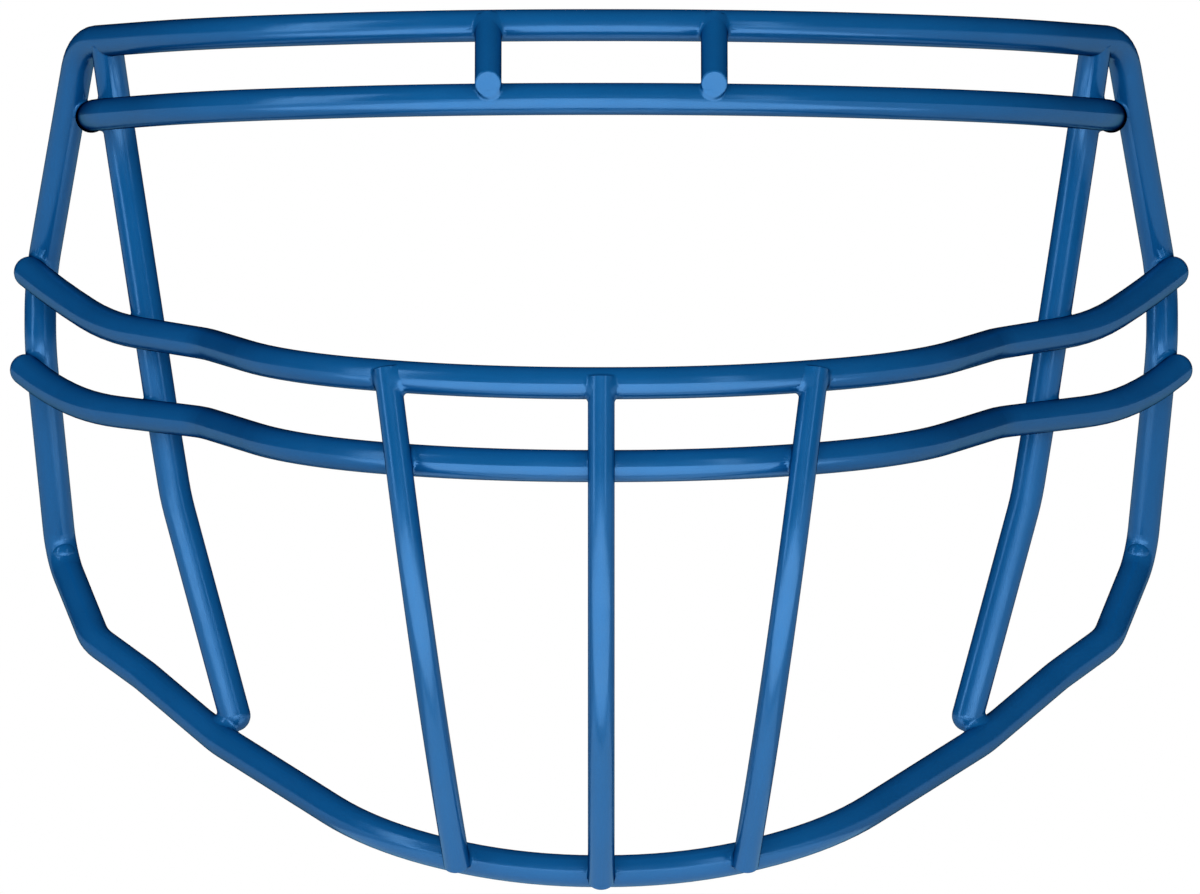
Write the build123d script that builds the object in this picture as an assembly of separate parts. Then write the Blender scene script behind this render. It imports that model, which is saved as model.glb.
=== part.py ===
from build123d import *
from math import asin, atan2, cos, hypot, radians, sin, tan
import os

os.makedirs("parts", exist_ok=True)

# Sizes are in millimetres. X runs across the face, Y from front to back and Z up.
# Right means +X here, which is the right of a front view.

# Overall spans that the tables of shares follow
cage_width = 245.0
cage_height = 180.0
cage_depth = 152.0

# Coated wire diameters
frame_wire = 6.6
thin_wire = 5.5

# Bend radii on the wire's axis
top_corner_bend = 12.0
side_bend = 15.0
seam_bend = 8.0
jaw_corner_bend = 15.0
jaw_side_bend = 40.0
bar_side_bend = 30.0
upright_bend = 60.0
fitted_bend_share = 0.96

# How deep a wire is set into the one that it crosses or ends on
crossing_set_down = 0.8
oral_end_set_down = 0.9
brow_end_set_down = 0.4
side_foot_set_down = 0.9
mouth_foot_set_down = 2.0

# How far a sunk wire's axis passes in front of the axis of the bar that holds it
tie_top_offset = 1.2
side_upright_top_offset = 0.1
mouth_upright_top_offset = 2.2

# Wire ends
tie_overrun = 1.5
tie_end_slope = 18.0
end_edge_rounding = 0.5
mouth_upright_top_rise = 1.4
mouth_upright_short = 1.0
trim_overrun = 4.0

# Weld beads
thin_crossing_bead = 6.6
thick_crossing_bead = 7.8
thick_end_bead = 8.0
jaw_bead = 6.0
jaw_bead_setback = 1.2
seam_bead_size = 5.0
seam_bead_height = 0.6
seam_bead_bearing = -10.0
bead_turn = (25.0, 15.0, 70.0)

# Corners of the outline on one side, from the middle of the top bar to the middle
# of the jaw, as shares of the half width, the depth and the half height
top_bar_shares = [(0.241, 0.201, 0.965), (0.662, 0.396, 0.951)]
top_corner_share = (0.877, 0.687, 0.934)
side_wire_shares = [(0.950, 0.901, 0.390), (0.950, 0.875, 0.236)]
seam_corner_share = (0.916, 1.000, -0.249)
jaw_corner_share = (0.857, 0.849, -0.439)
jaw_side_shares = [(0.771, 0.763, -0.522), (0.642, 0.615, -0.667)]
jaw_front_shares = [(0.380, 0.318, -0.885), (0.138, 0.224, -0.962)]
seam_height_share = -0.240

# Corners of the bars on one side, from the middle outwards
brow_bar_shares = [(0.240, 0.128, 0.796), (0.662, 0.324, 0.782), (0.853, 0.592, 0.766)]
upper_oral_front_shares = [(0.195, 0.000, 0.149), (0.524, 0.171, 0.184)]
upper_oral_side_shares = [(0.662, 0.440, 0.240), (0.828, 0.634, 0.277), (0.908, 0.765, 0.345)]
lower_oral_front_shares = [(0.189, 0.013, -0.039), (0.507, 0.171, -0.006)]
lower_oral_side_shares = [(0.669, 0.478, 0.061), (0.858, 0.686, 0.092), (0.932, 0.800, 0.137)]

# Where the bars end on the side wires: the height there, and how far round the
# side wire the end lies, in degrees outwards from straight ahead
brow_end_height_share = 0.763
brow_end_bearing = -50.0
upper_oral_end_height_share = 0.407
upper_oral_end_bearing = 27.0
lower_oral_end_height_share = 0.182
lower_oral_end_bearing = 37.0

# Where the ties and uprights cross the bars, as shares of the half width
tie_share = 0.189
side_upright_top_share = 0.834
side_upright_brow_share = 0.818
side_upright_upper_oral_share = 0.760
side_upright_lower_oral_share = 0.739
side_upright_foot_share = 0.649
side_upright_bend_shares = (0.717, -0.112)
side_upright_foot_bearing = 35.0
mouth_upright_top_share = 0.358
mouth_upright_lower_oral_share = 0.339
mouth_upright_foot_share = 0.226
mouth_side_tilt = 36.0
mouth_center_tilt = 44.0
mouth_first_run_share = 0.245
mouth_last_run_share = 0.290

half_width = cage_width / 2
half_height = cage_height / 2
frame_radius = frame_wire / 2
thin_radius = thin_wire / 2
thin_crossing_gap = frame_radius + thin_radius - crossing_set_down
thick_crossing_gap = frame_wire - crossing_set_down
bisection_steps = 40


# Points and paths

def place(shares):
    return Vector(shares[0] * half_width, shares[1] * cage_depth, shares[2] * half_height)


def mirrored(point):
    return Vector(-point.X, point.Y, point.Z)


def both_sides(half):
    return [mirrored(point) for point in reversed(half)] + half


def both_radii(half):
    return list(reversed(half)) + half


def bent_path(corners, radii):
    """Straight runs joined by tangent arcs, where a radius of None is the largest that fits."""
    runs = [(after - before).length for before, after in zip(corners, corners[1:])]
    rooms = [runs[0]] + [run / 2 for run in runs[1:-1]] + [runs[-1]]
    fitted = []
    for index, radius in enumerate(radii):
        before, corner, after = corners[index:index + 3]
        turn = radians((corner - before).get_angle(after - corner))
        largest = fitted_bend_share * min(rooms[index:index + 2]) / tan(turn / 2)
        fitted.append(largest if radius is None else min(radius, largest))
    return FilletPolyline(*corners, radius=fitted)


def bisected(measure, target, low, high):
    rising = measure(high) > measure(low)
    for _ in range(bisection_steps):
        middle = (low + high) / 2
        if (measure(middle) < target) == rising:
            low = middle
        else:
            high = middle
    return middle


def at_width(path, width):
    """Point and direction of a bar that runs from left to right."""
    where = bisected(lambda share: (path @ share).X, width, 0, 1)
    return path @ where, path % where


def side_wire_at(height):
    """Point of the right side wire, which is the last stretch of the upper frame path."""
    where = bisected(lambda share: (upper_frame_path @ share).Z, height, 1 / 2, 1)
    return upper_frame_path @ where


def crossing_point(path, width, gap, side):
    """Point of an upright that passes a bar at a gap, behind it for side 1, in front for -1."""
    bar, _ = at_width(path, width)
    reach = bisected(
        lambda length: path.distance_to(bar + Vector(0, side * length, 0)),
        gap,
        0,
        4 * gap,
    )
    return bar + Vector(0, side * reach, 0)


def bar_end(height_share, bearing, set_down):
    """Centre of a bar's end, which lies against the right side wire."""
    ahead = Vector(sin(radians(bearing)), -cos(radians(bearing)), 0)
    return side_wire_at(height_share * half_height) + ahead * (frame_wire - set_down)


def swept(path, diameter):
    section = Plane(origin=path @ 0, z_dir=path % 0) * Circle(diameter / 2)
    return sweep(section, path).solid()


def domed(wire, center, diameter):
    return (wire + Pos(center) * Sphere(diameter / 2)).solid()


def cut_by(piece, cutters):
    """The largest solid that is left of a piece when it is fitted round other pieces."""
    return max((piece - cutters).solids(), key=lambda solid: solid.volume)


# Paths of the frame wires and the bars

top_corner = place(top_corner_share)
seam_corner = place(seam_corner_share)
jaw_corner = place(jaw_corner_share)
side_corners = [place(shares) for shares in side_wire_shares]
stub_below_seam = (seam_corner + jaw_corner) / 2
stub_above_seam = (seam_corner + side_corners[-1]) / 2

upper_frame_path = bent_path(
    both_sides(
        [place(shares) for shares in top_bar_shares]
        + [top_corner]
        + side_corners
        + [seam_corner, stub_below_seam]
    ),
    both_radii([None, None, top_corner_bend, side_bend, side_bend, seam_bend]),
)

jaw_path = bent_path(
    both_sides(
        [place(shares) for shares in reversed(jaw_front_shares)]
        + [place(shares) for shares in reversed(jaw_side_shares)]
        + [jaw_corner, seam_corner, stub_above_seam]
    ),
    both_radii([None, None, jaw_side_bend, jaw_side_bend, jaw_corner_bend, seam_bend]),
)

brow_path = bent_path(
    both_sides(
        [place(shares) for shares in brow_bar_shares]
        + [bar_end(brow_end_height_share, brow_end_bearing, brow_end_set_down)]
    ),
    both_radii([None, None, bar_side_bend]),
)

upper_oral_path = bent_path(
    both_sides(
        [place(shares) for shares in upper_oral_front_shares + upper_oral_side_shares]
        + [bar_end(upper_oral_end_height_share, upper_oral_end_bearing, oral_end_set_down)]
    ),
    both_radii([None, None, bar_side_bend, None, None]),
)

lower_oral_path = bent_path(
    both_sides(
        [place(shares) for shares in lower_oral_front_shares + lower_oral_side_shares]
        + [bar_end(lower_oral_end_height_share, lower_oral_end_bearing, oral_end_set_down)]
    ),
    both_radii([None, None, bar_side_bend, None, None]),
)


# Paths of the ties and uprights, all for the right side

def tie_line(width):
    """Ends of a tie's axis, which leans forward from the top bar to the front of the brow bar."""
    top, _ = at_width(upper_frame_path, width)
    brow, _ = at_width(brow_path, width)
    span = hypot(top.Y - brow.Y, top.Z - brow.Z)
    lean = atan2(top.Y - brow.Y, top.Z - brow.Z) + asin((thin_crossing_gap - tie_top_offset) / span)
    down = Vector(0, -sin(lean), -cos(lean))
    forward = Vector(0, -cos(lean), sin(lean))
    end = brow + forward * thin_crossing_gap + down * tie_overrun
    return top + forward * tie_top_offset, end, down


def upright_foot(path, width, direction, gap, side):
    """Point where an upright's axis passes the jaw at a gap, square to both."""
    jaw, along = at_width(path, width)
    square = along.cross(direction).normalized()
    outward = square if square.Y * side > 0 else -square
    return jaw + outward * gap


def side_upright_corners():
    top, along = at_width(upper_frame_path, side_upright_top_share * half_width)
    forward = Vector(along.Y, -along.X, 0).normalized() * side_upright_top_offset
    crossings = [
        crossing_point(path, share * half_width, thick_crossing_gap, 1)
        for path, share in [
            (brow_path, side_upright_brow_share),
            (upper_oral_path, side_upright_upper_oral_share),
            (lower_oral_path, side_upright_lower_oral_share),
        ]
    ]
    jaw, along = at_width(jaw_path, side_upright_foot_share * half_width)
    upward = (Vector(0, 0, 1) - along * along.Z).normalized()
    back = upward.cross(along)
    angle = radians(side_upright_foot_bearing)
    gap = frame_wire - side_foot_set_down
    foot = jaw + (upward * cos(angle) + back * sin(angle)) * gap
    width, height = side_upright_bend_shares[0] * half_width, side_upright_bend_shares[1] * half_height
    fall = (crossings[-1].Z - height) / (crossings[-1].Z - foot.Z)
    bend = Vector(width, crossings[-1].Y + (foot.Y - crossings[-1].Y) * fall, height)
    return [top + forward] + crossings + [bend, foot]


def mouth_upright_corners(top_share, crossing_share, foot_share, tilt):
    top, _ = at_width(upper_oral_path, top_share * half_width)
    top = top + Vector(0, -mouth_upright_top_offset, mouth_upright_top_rise)
    crossing = crossing_point(lower_oral_path, crossing_share * half_width, thin_crossing_gap, -1)
    jaw, _ = at_width(jaw_path, foot_share * half_width)
    slant = (jaw.X - crossing.X) / (crossing.Z - jaw.Z)
    down = Vector(slant * cos(radians(tilt)), sin(radians(tilt)), -cos(radians(tilt))).normalized()
    gap = frame_radius + thin_radius - mouth_foot_set_down
    foot = upright_foot(jaw_path, foot_share * half_width, down, gap, -1)
    drop = (foot - crossing).length
    first = crossing + (crossing - top).normalized() * drop * mouth_first_run_share
    last = foot - down * drop * mouth_last_run_share
    return [top, first, last, foot - down * mouth_upright_short]


# Frame wires and bars

def frame_half(path, keep):
    """One of the two bent wires of the outline, which meet in the bends at the seams."""
    return split(swept(path, frame_wire), Plane.XY.offset(seam_height_share * half_height), keep).solid()


def oral_bar(path):
    wire = domed(domed(swept(path, frame_wire), path @ 0, frame_wire), path @ 1, frame_wire)
    return cut_by(wire, [shapes["upper_frame_wire"]])


paths = {
    "upper_frame_wire": upper_frame_path,
    "jaw_wire": jaw_path,
    "lower_brow_bar": brow_path,
    "upper_oral_bar": upper_oral_path,
    "lower_oral_bar": lower_oral_path,
}
diameters = {name: frame_wire for name in paths}
shapes = {
    "upper_frame_wire": frame_half(upper_frame_path, Keep.TOP),
    "jaw_wire": frame_half(jaw_path, Keep.BOTTOM),
}
shapes["lower_brow_bar"] = cut_by(swept(brow_path, frame_wire), [shapes["upper_frame_wire"]])
shapes["upper_oral_bar"] = oral_bar(upper_oral_path)
shapes["lower_oral_bar"] = oral_bar(lower_oral_path)
bar_shapes = list(shapes.values())


# Ties and uprights, for the right side and the middle

def brow_tie():
    top, end, down = tie_line(tie_share * half_width)
    rod = swept(Line(top, end + down * trim_overrun), thin_wire)
    slope = radians(tie_end_slope)
    trim = Plane(origin=end, z_dir=(0, -cos(slope), -sin(slope)))
    rod = split(rod, trim, Keep.BOTTOM).solid()
    rod = fillet(rod.edges().sort_by_distance(end)[0], end_edge_rounding)
    return Line(top, end), cut_by(rod, bar_shapes)


def side_upright():
    corners = side_upright_corners()
    path = bent_path(corners, [upright_bend] * (len(corners) - 2))
    wire = domed(swept(path, frame_wire), corners[-1], frame_wire)
    return path, cut_by(wire, bar_shapes)


def mouth_upright(*place_and_tilt):
    path = bent_path(mouth_upright_corners(*place_and_tilt), [None, None])
    wire = swept(path, thin_wire)
    wire = fillet(wire.faces().sort_by(Axis.Z)[0].edges(), end_edge_rounding)
    return path, cut_by(wire, bar_shapes)


def keep_wire(name, path, shape, diameter):
    paths[name] = path
    shapes[name] = shape
    diameters[name] = diameter


keep_wire("brow_tie", *brow_tie(), thin_wire)
keep_wire("side_upright", *side_upright(), frame_wire)
keep_wire("mouth_upright_center", *mouth_upright(0, 0, 0, mouth_center_tilt), thin_wire)
keep_wire(
    "mouth_upright",
    *mouth_upright(
        mouth_upright_top_share,
        mouth_upright_lower_oral_share,
        mouth_upright_foot_share,
        mouth_side_tilt,
    ),
    thin_wire,
)


# Weld beads

def ball(center, diameter):
    """Sphere that is turned so that its seam and poles miss those of the wires."""
    return Pos(center) * Rot(*bead_turn) * Sphere(diameter / 2)


def bead_between(first, second, diameter, setback=0):
    """Bead in the corner between two wires, round the place where they touch."""
    distance, on_first, on_second = paths[first].distance_to_with_closest_points(paths[second])
    contact = (diameters[first] / 2 + distance - diameters[second] / 2) / 2
    center = on_first + (on_second - on_first).normalized() * contact
    center -= (paths[second] % 1) * setback
    return cut_by(ball(center, diameter), [shapes[first], shapes[second]])


def bead_under(bar, upright, diameter):
    """Bead where the top of an upright is sunk in a bar."""
    top = paths[upright] @ 0
    center = top + (paths[upright] % 0) * diameters[bar] / 2
    return cut_by(ball(center, diameter), [shapes[bar], shapes[upright]])


def seam_bead():
    """Low bead on the front of the butt weld of the two frame wires."""
    on_side = side_wire_at(seam_height_share * half_height)
    ahead = Vector(sin(radians(seam_bead_bearing)), -cos(radians(seam_bead_bearing)), 0)
    center = on_side + ahead * (frame_radius + seam_bead_height - seam_bead_size / 2)
    return cut_by(ball(center, seam_bead_size), [shapes["upper_frame_wire"], shapes["jaw_wire"]])


beads = {
    "tie_top_weld": bead_under("upper_frame_wire", "brow_tie", thin_crossing_bead),
    "tie_brow_weld": bead_between("lower_brow_bar", "brow_tie", thin_crossing_bead),
    "brow_end_weld": bead_between("upper_frame_wire", "lower_brow_bar", thick_end_bead),
    "side_upright_top_weld": bead_under("upper_frame_wire", "side_upright", thick_end_bead),
    "side_upright_foot_weld": bead_between("jaw_wire", "side_upright", thick_end_bead),
    "seam_weld": seam_bead(),
    "mouth_top_weld": bead_under("upper_oral_bar", "mouth_upright", thin_crossing_bead),
    "mouth_oral_weld": bead_between("lower_oral_bar", "mouth_upright", thin_crossing_bead),
    "mouth_jaw_weld": bead_between("jaw_wire", "mouth_upright", jaw_bead, jaw_bead_setback),
}
for bar in ["lower_brow_bar", "upper_oral_bar", "lower_oral_bar"]:
    beads[f"{bar}_side_weld"] = bead_between(bar, "side_upright", thick_crossing_bead)
for bar in ["upper_oral_bar", "lower_oral_bar"]:
    beads[f"{bar}_end_weld"] = bead_between("upper_frame_wire", bar, thick_end_bead)

center_beads = {
    "mouth_top_weld_center": bead_under("upper_oral_bar", "mouth_upright_center", thin_crossing_bead),
    "mouth_oral_weld_center": bead_between("lower_oral_bar", "mouth_upright_center", thin_crossing_bead),
    "mouth_jaw_weld_center": bead_between(
        "jaw_wire", "mouth_upright_center", jaw_bead, jaw_bead_setback
    ),
}


# Nodes, with the origin in the middle of the whole cage

paired = ["brow_tie", "side_upright", "mouth_upright"]
nodes = {name: shape for name, shape in shapes.items() if name not in paired} | center_beads
for name, shape in [(name, shapes[name]) for name in paired] + list(beads.items()):
    nodes[f"{name}_right"] = shape
    nodes[f"{name}_left"] = mirror(shape, Plane.YZ)

middle = Compound(list(nodes.values())).bounding_box().center()
for name, shape in nodes.items():
    placed = Pos(-middle) * shape
    placed.label = name
    export_step(placed, f"parts/{name}.step")
print("moved to the middle by", -middle)
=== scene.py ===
import bmesh
import bpy
import math
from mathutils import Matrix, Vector
from mathutils.bvhtree import BVHTree


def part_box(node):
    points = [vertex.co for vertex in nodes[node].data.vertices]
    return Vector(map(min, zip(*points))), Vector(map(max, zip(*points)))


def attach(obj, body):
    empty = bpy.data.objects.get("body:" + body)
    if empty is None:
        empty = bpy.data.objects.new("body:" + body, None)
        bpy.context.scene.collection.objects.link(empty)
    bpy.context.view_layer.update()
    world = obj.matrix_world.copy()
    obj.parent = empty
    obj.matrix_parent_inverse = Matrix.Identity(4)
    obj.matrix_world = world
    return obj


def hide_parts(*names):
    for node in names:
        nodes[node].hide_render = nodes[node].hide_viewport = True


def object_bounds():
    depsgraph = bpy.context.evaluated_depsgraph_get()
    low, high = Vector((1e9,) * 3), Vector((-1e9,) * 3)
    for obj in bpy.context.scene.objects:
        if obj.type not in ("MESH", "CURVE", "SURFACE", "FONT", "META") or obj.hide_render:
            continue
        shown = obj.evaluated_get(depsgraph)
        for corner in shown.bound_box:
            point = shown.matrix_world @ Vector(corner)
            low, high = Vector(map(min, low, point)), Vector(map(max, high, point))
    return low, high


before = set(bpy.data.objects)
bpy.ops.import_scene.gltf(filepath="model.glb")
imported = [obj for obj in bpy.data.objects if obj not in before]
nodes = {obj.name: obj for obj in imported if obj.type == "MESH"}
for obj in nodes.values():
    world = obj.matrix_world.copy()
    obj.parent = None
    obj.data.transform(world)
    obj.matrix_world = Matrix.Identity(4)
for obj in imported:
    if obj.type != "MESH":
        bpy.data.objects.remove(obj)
cad_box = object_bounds()

# Weld fillets, in metres. A blend is the width over which the skins of two wires run
# together. A reach is how far a fillet goes from the middle of the wires' contact.
wide_blend = 0.0032
medium_blend = 0.0026
narrow_blend = 0.0012
short_reach = 0.0050
thin_reach = 0.0062
long_reach = 0.0070
thick_reach = 0.0078
least_blend = 1e-6
# How deep a fillet's border lies under the wires' skin
fillet_sink = 0.00003
# How finely a fillet is divided, and the steps and halvings that find its skin
fillet_detail = 5
first_steps = 10
root_steps = 8
# Grid across a weld's box, and how near both skins a point of the contact lies
contact_steps = 9
contact_band = 0.0005
# Lines that tell inside from outside, and how far past a crossing each goes on
probe_ways = [(0.31, 0.47, 0.83), (-0.71, 0.22, -0.41), (0.13, -0.87, 0.29)]
probe_step = 2e-6

# Coat: colours, bumps per metre of each noise, and the range of its roughness
body_dark = (0.0066, 0.160, 0.448, 1)
body_light = (0.0092, 0.182, 0.503, 1)
flake_blue = (0.0118, 0.218, 0.563, 1)
flake_share = 0.35
cloud_scale = 60
smear_scale = 140
ripple_scale = 230
peel_scale = 900
flake_scale = 5200
roughness_low = 0.17
roughness_high = 0.27
# Orange peel: height of its bumps, how strongly they show, and how much the ripple counts
peel_height = 0.00002
peel_strength = 0.5
ripple_weight = 2.5

# Floor: its gap under the object, its size, and where its glow grows from the lowest
# share near the object to plain white
floor_gap = 0.0034
floor_size = 80.0
floor_color = (0.90, 0.90, 0.90, 1)
floor_roughness = 0.9
near_glow = 0.72
glow_start = 0.10
glow_end = 0.21

# World: white wall up to the horizon and dark above it, and the plain light on the object
wall_color = (1, 1, 1, 1)
above_color = (0.02, 0.021, 0.023, 1)
plain_light = (0.34, 0.34, 0.35, 1)
wall_top_start = 0.02
wall_top_end = 0.06

# Height above the floor of the lamps that stand for the lit table top
table_gap = 0.0005

# Picture: the width that the frame covers, its middle, and the camera's distance from it
view_width = 0.2472
view_middle = Vector((-0.00025, 0, 0.0005))
view_distance = 8.5
view_end = 200
sensor_width = 36.0


# Node helpers

def feed(tree, value, socket):
    """Link a socket to another, or set it to a plain value."""
    if isinstance(value, bpy.types.NodeSocket):
        tree.links.new(value, socket)
    else:
        socket.default_value = value


def noise(tree, place, scale, detail=2.0, roughness=0.5):
    """Noise whose scale is counted in bumps per metre."""
    made = tree.nodes.new("ShaderNodeTexNoise")
    made.inputs["Scale"].default_value = scale
    made.inputs["Detail"].default_value = detail
    made.inputs["Roughness"].default_value = roughness
    tree.links.new(place, made.inputs["Vector"])
    return made.outputs["Fac"]


def spread(tree, value, low, high, start=0.3, end=0.7):
    """Value stretched from the range start to end, to the range low to high."""
    made = tree.nodes.new("ShaderNodeMapRange")
    made.inputs["From Min"].default_value = start
    made.inputs["From Max"].default_value = end
    made.inputs["To Min"].default_value = low
    made.inputs["To Max"].default_value = high
    tree.links.new(value, made.inputs["Value"])
    return made.outputs["Result"]


def mixed(tree, share, first, second):
    """Colour between two others, each a socket or a plain value."""
    made = tree.nodes.new("ShaderNodeMix")
    made.data_type = "RGBA"
    feed(tree, share, made.inputs[0])
    feed(tree, first, made.inputs[6])
    feed(tree, second, made.inputs[7])
    return made.outputs[2]


def combined(tree, first, second, operation="ADD"):
    """Sum, or another operation, on two sockets or plain values."""
    made = tree.nodes.new("ShaderNodeMath")
    made.operation = operation
    feed(tree, first, made.inputs[0])
    feed(tree, second, made.inputs[1])
    return made.outputs[0]


def new_material(name):
    material = bpy.data.materials.new(name)
    material.use_nodes = True
    return material, material.node_tree


def powder_coat(name):
    """Glossy blue coat with colour clouds, fine flake, orange peel and uneven gloss."""
    material, tree = new_material(name)
    shader = tree.nodes["Principled BSDF"]
    place = tree.nodes.new("ShaderNodeTexCoord").outputs["Object"]
    cloud = spread(tree, noise(tree, place, cloud_scale, detail=3.0), 0, 1)
    speckle = noise(tree, place, flake_scale, detail=1.0)
    flake = spread(tree, speckle, 0, 1, start=0.35, end=0.65)
    body = mixed(tree, cloud, body_dark, body_light)
    body = mixed(tree, combined(tree, flake, flake_share, "MULTIPLY"), body, flake_blue)
    tree.links.new(body, shader.inputs["Base Color"])
    smear = noise(tree, place, smear_scale, detail=4.0, roughness=0.6)
    gloss = spread(tree, smear, roughness_low, roughness_high)
    tree.links.new(gloss, shader.inputs["Roughness"])
    peel = noise(tree, place, peel_scale)
    ripple = noise(tree, place, ripple_scale, detail=1.0)
    height = combined(tree, peel, combined(tree, ripple, ripple_weight, "MULTIPLY"))
    bump = tree.nodes.new("ShaderNodeBump")
    bump.inputs["Strength"].default_value = peel_strength
    bump.inputs["Distance"].default_value = peel_height
    tree.links.new(height, bump.inputs["Height"])
    tree.links.new(bump.outputs["Normal"], shader.inputs["Normal"])
    shader.inputs["Metallic"].default_value = 0.12
    shader.inputs["IOR"].default_value = 1.5
    shader.inputs["Specular IOR Level"].default_value = 0.5
    shader.inputs["Specular Tint"].default_value = (0.85, 1.0, 1.0, 1)
    # The clear layer only tints, most where it is seen at a slant
    shader.inputs["Coat Weight"].default_value = 1.0
    shader.inputs["Coat IOR"].default_value = 1.0
    shader.inputs["Coat Tint"].default_value = (0.60, 0.74, 0.80, 1)
    return material


# Weld fillets

def tree_of(name):
    mesh = nodes[name].data
    corners = [vertex.co.copy() for vertex in mesh.vertices]
    return BVHTree.FromPolygons(corners, [tuple(face.vertices) for face in mesh.polygons])


trees = {}
probes = [Vector(way).normalized() for way in probe_ways]


def odd_crossings(tree, point, probe):
    """Whether a line from the point crosses the closed skin an odd number of times."""
    crossed = 0
    spot = tree.ray_cast(point, probe)[0]
    while spot is not None:
        crossed += 1
        spot = tree.ray_cast(spot + probe * probe_step, probe)[0]
    return crossed % 2 == 1


def inside(tree, point):
    """What two of three lines from the point say."""
    first, second = [odd_crossings(tree, point, probe) for probe in probes[:2]]
    return first if first == second else odd_crossings(tree, point, probes[2])


def depth(name, point):
    """Distance from a wire's skin, below zero inside the wire."""
    if name not in trees:
        trees[name] = tree_of(name)
    distance = trees[name].find_nearest(point)[3]
    return -distance if inside(trees[name], point) else distance


def blended(first, second, blend):
    """Smooth union of two distances."""
    share = min(max(0.5 + 0.5 * (second - first) / blend, 0.0), 1.0)
    return second + (first - second) * share - blend * share * (1 - share)


def contact_of(weld, first, second):
    """Middle of the patch where two wires touch."""
    low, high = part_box(weld)
    shares = [(step + 0.5) / contact_steps for step in range(contact_steps)]
    found = []
    for x_share in shares:
        for y_share in shares:
            for z_share in shares:
                place = (x_share, y_share, z_share)
                point = Vector(low[a] + (high[a] - low[a]) * place[a] for a in range(3))
                if max(abs(depth(first, point)), abs(depth(second, point))) < contact_band:
                    found.append(point)
    return sum(found, Vector()) / len(found)


def way_out(skin, middle, direction, reach):
    """How far from the middle a line leaves the skin, and the reach at most."""
    low, high = 0.0, reach
    for step in range(1, first_steps + 1):
        high = reach * step / first_steps
        if skin(middle + direction * high) > 0:
            break
        low = high
    if low < high:
        for _ in range(root_steps):
            half = (low + high) / 2
            if skin(middle + direction * half) > 0:
                high = half
            else:
                low = half
    return high


def fillet_shape(weld, first, second, reach, blend):
    """Points and faces of a closed skin round the place where two wires meet."""
    middle = contact_of(weld, first, second)

    def skin(point):
        fade = min(1.0, (point - middle).length / reach)
        weight = 1 - fade * fade * (3 - 2 * fade)
        width = blend * weight + least_blend
        return blended(depth(first, point), depth(second, point), width) + fillet_sink

    shell = bmesh.new()
    bmesh.ops.create_icosphere(shell, subdivisions=fillet_detail, radius=1.0)
    ways = [vertex.co.normalized() for vertex in shell.verts]
    points = [middle + way * way_out(skin, middle, way, reach) for way in ways]
    faces = [tuple(vertex.index for vertex in face.verts) for face in shell.faces]
    shell.free()
    return points, faces


def mirrored(points, faces):
    """The same skin on the other side of the object."""
    across = [Vector((-point.x, point.y, point.z)) for point in points]
    return across, [tuple(reversed(face)) for face in faces]


def new_piece(name, points, faces, material):
    mesh = bpy.data.meshes.new(name)
    mesh.from_pydata(points, [], faces)
    mesh.materials.append(material)
    mesh.shade_smooth()
    piece = bpy.data.objects.new(name, mesh)
    bpy.context.scene.collection.objects.link(piece)
    return piece


def add_fillet(weld, points, faces):
    piece = new_piece(f"{weld}_fillet", points, faces, coat)
    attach(piece, "root")
    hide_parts(weld)


coat = powder_coat("blue_powder_coat")
for piece in nodes.values():
    piece.data.materials.clear()
    piece.data.materials.append(coat)

# Each weld with its two wires, its reach and its blend
mouth_welds = [
    ("mouth_top_weld", "upper_oral_bar", "mouth_upright", long_reach, wide_blend),
    ("mouth_oral_weld", "lower_oral_bar", "mouth_upright", thin_reach, medium_blend),
    ("mouth_jaw_weld", "jaw_wire", "mouth_upright", thin_reach, medium_blend),
]
paired_welds = [
    ("tie_top_weld", "upper_frame_wire", "brow_tie", thin_reach, medium_blend),
    ("tie_brow_weld", "lower_brow_bar", "brow_tie", thin_reach, medium_blend),
    ("brow_end_weld", "upper_frame_wire", "lower_brow_bar", thick_reach, narrow_blend),
    ("side_upright_top_weld", "upper_frame_wire", "side_upright", short_reach, narrow_blend),
    ("side_upright_foot_weld", "jaw_wire", "side_upright", thick_reach, medium_blend),
    *mouth_welds,
    ("lower_brow_bar_side_weld", "lower_brow_bar", "side_upright", thick_reach, medium_blend),
    ("upper_oral_bar_side_weld", "upper_oral_bar", "side_upright", thick_reach, medium_blend),
    ("lower_oral_bar_side_weld", "lower_oral_bar", "side_upright", thick_reach, medium_blend),
    ("upper_oral_bar_end_weld", "upper_frame_wire", "upper_oral_bar", thick_reach, medium_blend),
    ("lower_oral_bar_end_weld", "upper_frame_wire", "lower_oral_bar", thick_reach, medium_blend),
]
paired_wires = ["brow_tie", "side_upright", "mouth_upright"]

for weld, first, second, reach, blend in paired_welds:
    other = f"{second}_right" if second in paired_wires else second
    points, faces = fillet_shape(f"{weld}_right", first, other, reach, blend)
    add_fillet(f"{weld}_right", points, faces)
    add_fillet(f"{weld}_left", *mirrored(points, faces))
for weld, first, second, reach, blend in mouth_welds:
    points, faces = fillet_shape(f"{weld}_center", first, f"{second}_center", reach, blend)
    add_fillet(f"{weld}_center", points, faces)


# Floor, world and lamps

def seen_directly(tree):
    """One for rays from the camera, a gloss or a glass, and zero for diffuse ones."""
    path = tree.nodes.new("ShaderNodeLightPath")
    seen = combined(tree, path.outputs["Is Camera Ray"], path.outputs["Is Glossy Ray"], "MAXIMUM")
    return combined(tree, seen, path.outputs["Is Transmission Ray"], "MAXIMUM")


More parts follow.
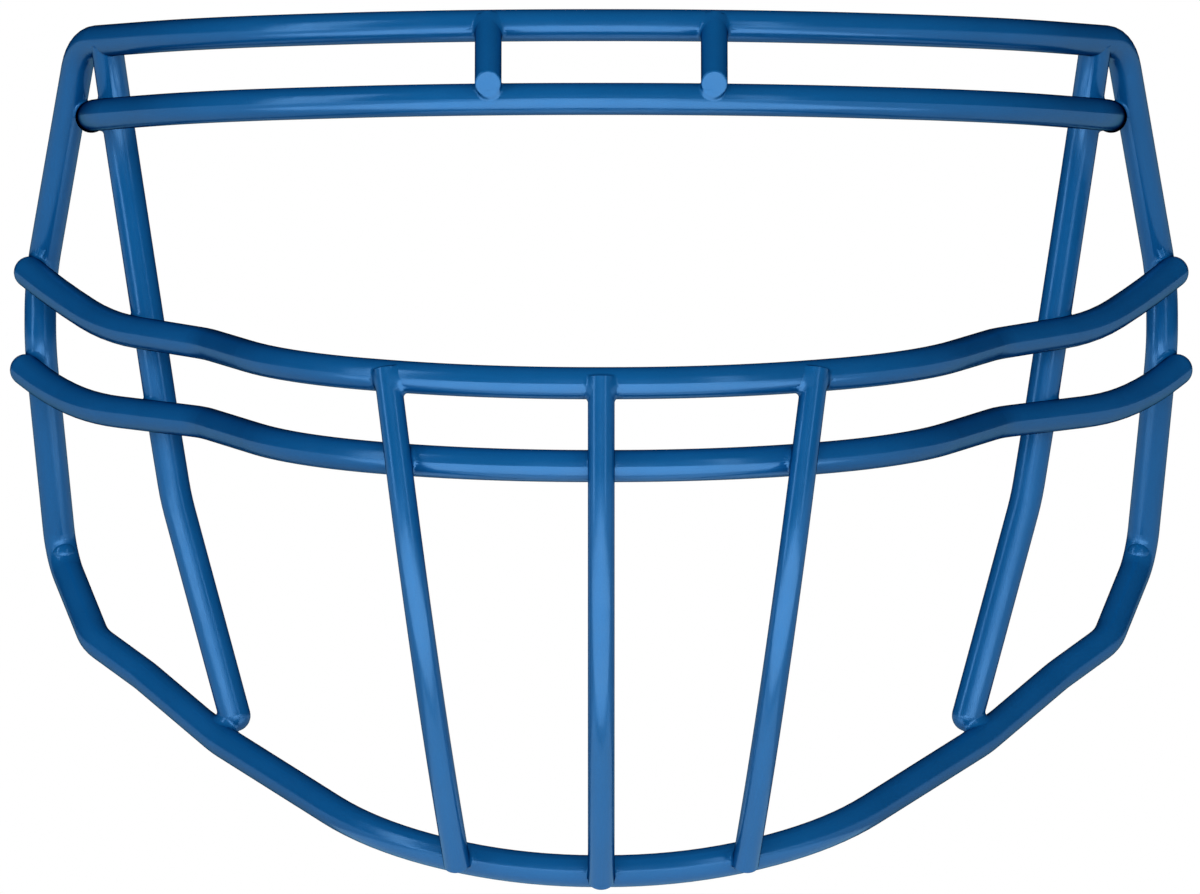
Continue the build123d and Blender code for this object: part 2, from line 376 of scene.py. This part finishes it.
def pale_floor():
    """White floor that keeps the shadow near the object and is plain white farther off."""
    material, tree = new_material("pale_floor")
    shader = tree.nodes["Principled BSDF"]
    shader.inputs["Base Color"].default_value = floor_color
    shader.inputs["Roughness"].default_value = floor_roughness
    shader.inputs["Specular IOR Level"].default_value = 0.0
    glow = tree.nodes.new("ShaderNodeEmission")
    glow.inputs["Strength"].default_value = 1.0
    place = tree.nodes.new("ShaderNodeTexCoord").outputs["Object"]
    length = tree.nodes.new("ShaderNodeVectorMath")
    length.operation = "LENGTH"
    tree.links.new(place, length.inputs[0])
    far = spread(tree, length.outputs["Value"], near_glow, 1.0, glow_start, glow_end)
    mix = tree.nodes.new("ShaderNodeMixShader")
    tree.links.new(combined(tree, far, seen_directly(tree), "MULTIPLY"), mix.inputs[0])
    tree.links.new(shader.outputs[0], mix.inputs[1])
    tree.links.new(glow.outputs[0], mix.inputs[2])
    tree.links.new(mix.outputs[0], tree.nodes["Material Output"].inputs["Surface"])
    return material


floor_height = cad_box[0].z - floor_gap
edge = floor_size / 2
floor = new_piece(
    "floor",
    [(-edge, -edge, 0), (edge, -edge, 0), (edge, edge, 0), (-edge, edge, 0)],
    [(0, 1, 2, 3)],
    pale_floor(),
)
floor.location = (0, 0, floor_height)

world = bpy.data.worlds.new("studio")
bpy.context.scene.world = world
world.use_nodes = True
sky = world.node_tree
direction = sky.nodes.new("ShaderNodeTexCoord").outputs["Generated"]
split = sky.nodes.new("ShaderNodeSeparateXYZ")
sky.links.new(direction, split.inputs[0])
rise = spread(sky, split.outputs["Z"], 0, 1, wall_top_start, wall_top_end)
wall = mixed(sky, rise, wall_color, above_color)
light = mixed(sky, seen_directly(sky), plain_light, wall)
sky.links.new(light, sky.nodes["Background"].inputs["Color"])


def lamp(name, toward, distance, width, height, radiance, gloss=True, soft=True):
    """Rectangular lamp that faces the object from a direction."""
    data = bpy.data.lights.new(name, "AREA")
    data.shape = "RECTANGLE"
    data.size = width
    data.size_y = height
    data.energy = radiance * math.pi * width * height
    made = bpy.data.objects.new(name, data)
    made.location = Vector(toward).normalized() * distance
    made.rotation_mode = "QUATERNION"
    made.rotation_quaternion = (-made.location).to_track_quat("-Z", "Y")
    made.visible_camera = False
    made.visible_glossy = gloss
    made.visible_diffuse = soft
    bpy.context.scene.collection.objects.link(made)
    return made


def table_lamp(name, x, y, width, height, radiance):
    """Lamp on the floor that faces up and shows only in the gloss."""
    up = Vector((0, 0, 1))
    made = lamp(name, up, 1.0, width, height, radiance, soft=False)
    made.location = (x, y, floor_height + table_gap)
    made.rotation_quaternion = up.to_track_quat("-Z", "Y")


lamp("key_left", (-0.90, -0.44, 0.34), distance=1.5, width=0.32, height=1.4, radiance=3.4)
lamp("fill_right", (0.57, -0.82, 0.20), distance=1.5, width=0.22, height=1.2, radiance=2.4)
lamp("front", (0, -1, 0.25), distance=3.0, width=2.0, height=1.4, radiance=3.4, gloss=False)
table_lamp("table_light", x=-0.06, y=-1.10, width=0.7, height=2.0, radiance=3.2)
table_lamp("under_light", x=0, y=-0.04, width=0.16, height=0.10, radiance=1.3)


# Camera at the angle of the photograph

eye = bpy.data.cameras.new("camera")
eye.sensor_width = sensor_width
eye.lens = sensor_width * view_distance / view_width
eye.clip_end = view_end
camera = bpy.data.objects.new("camera", eye)
camera.location = view_middle + Vector((0, -view_distance, 0))
camera.rotation_euler = (math.radians(90), 0, 0)
bpy.context.scene.collection.objects.link(camera)
bpy.context.scene.camera = camera
bpy.context.scene.view_settings.view_transform = "Standard"
